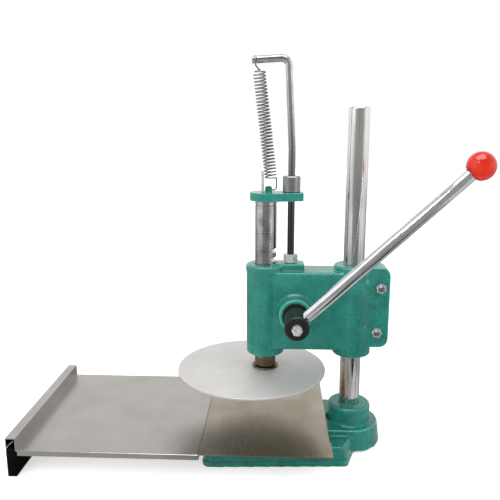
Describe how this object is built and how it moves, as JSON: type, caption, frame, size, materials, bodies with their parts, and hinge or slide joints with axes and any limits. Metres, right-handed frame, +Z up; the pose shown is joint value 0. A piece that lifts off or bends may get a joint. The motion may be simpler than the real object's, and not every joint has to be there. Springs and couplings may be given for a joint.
{
  "type": "pizza dough press",
  "caption": "Hand-operated bench press for pizza dough: a lever drives a toothed ram and its round plate down onto a flat plate, with a side tray.",
  "frame": {"origin": "on the bench surface, under the axis of the ram", "axes": "+Z up along the ram, +X from the ram to the column and away from the tray, -Y to the side with the lever"},
  "size_m": [0.6375, 0.251, 0.5662],
  "materials": {
    "green_enamel": "glossy hammered enamel on cast iron",
    "stainless_sheet": "fine brushed",
    "bright_steel": "turned bright",
    "chrome": "polished",
    "zinc_plated": "satin zinc",
    "bronze": "machined",
    "black_oxide": "blackened, satin",
    "black_foot": "matt",
    "orange_knob": "gloss"
  },
  "bodies": {
    "base": {"base_casting": "green_enamel", "lower_plate": "stainless_sheet", "plate_nut_1": "zinc_plated", "plate_nut_2": "zinc_plated", "plate_nut_3": "zinc_plated", "plate_nut_4": "zinc_plated", "column": "bright_steel", "column_set_screw": "zinc_plated", "tray": "stainless_sheet", "tray_foot": "black_foot"},
    "head": {"head_casting": "green_enamel", "front_bush": "bronze", "rear_bush": "bronze", "rear_cover": "green_enamel", "cover_screw_1": "zinc_plated", "cover_screw_2": "zinc_plated", "cover_screw_3": "zinc_plated", "cover_screw_4": "zinc_plated", "clamp_bolt_upper": "zinc_plated", "clamp_bolt_lower": "zinc_plated", "clamp_nut_upper": "zinc_plated", "clamp_nut_lower": "zinc_plated", "guide_rod": "chrome", "guide_rod_nut": "zinc_plated", "return_spring": "zinc_plated"},
    "collar": {"stop_collar": "bright_steel", "stop_collar_screw": "black_oxide"},
    "ram_assembly": {"ram": "bright_steel", "crosshead": "green_enamel", "crosshead_stud": "zinc_plated", "press_disc": "stainless_sheet", "disc_hub": "zinc_plated", "disc_pin": "zinc_plated"},
    "lever": {"pinion_shaft": "bright_steel", "lever_hub": "black_oxide", "hub_washer": "zinc_plated", "hub_bolt": "zinc_plated", "hub_key": "bright_steel", "lever_rod": "chrome", "lever_knob": "orange_knob"}
  },
  "joints": [
    {"name": "head_height", "type": "slide", "parent": "base", "child": "head", "axis": [0, 0, 1], "range_m": [0, 0.2]},
    {"name": "collar_slide", "type": "slide", "parent": "head", "child": "collar", "axis": [0, 0, 1], "range_m": [0, 0.035]},
    {"name": "ram_slide", "type": "slide", "parent": "head", "child": "ram_assembly", "axis": [0, 0, -1], "range_m": [0, 0.0733], "stiffness_N_per_m": 1050, "springref_m": -0.08, "deforming": ["return_spring"]},
    {"name": "lever_turn", "type": "hinge", "parent": "head", "child": "lever", "pos_m": [0.0433, 0, 0.209], "axis": [0, -1, 0], "range_deg": [0, 140]}
  ],
  "couplings": [
    {"joint": "lever_turn", "follows": "ram_slide", "rad_per_m": 33.333}
  ]
}
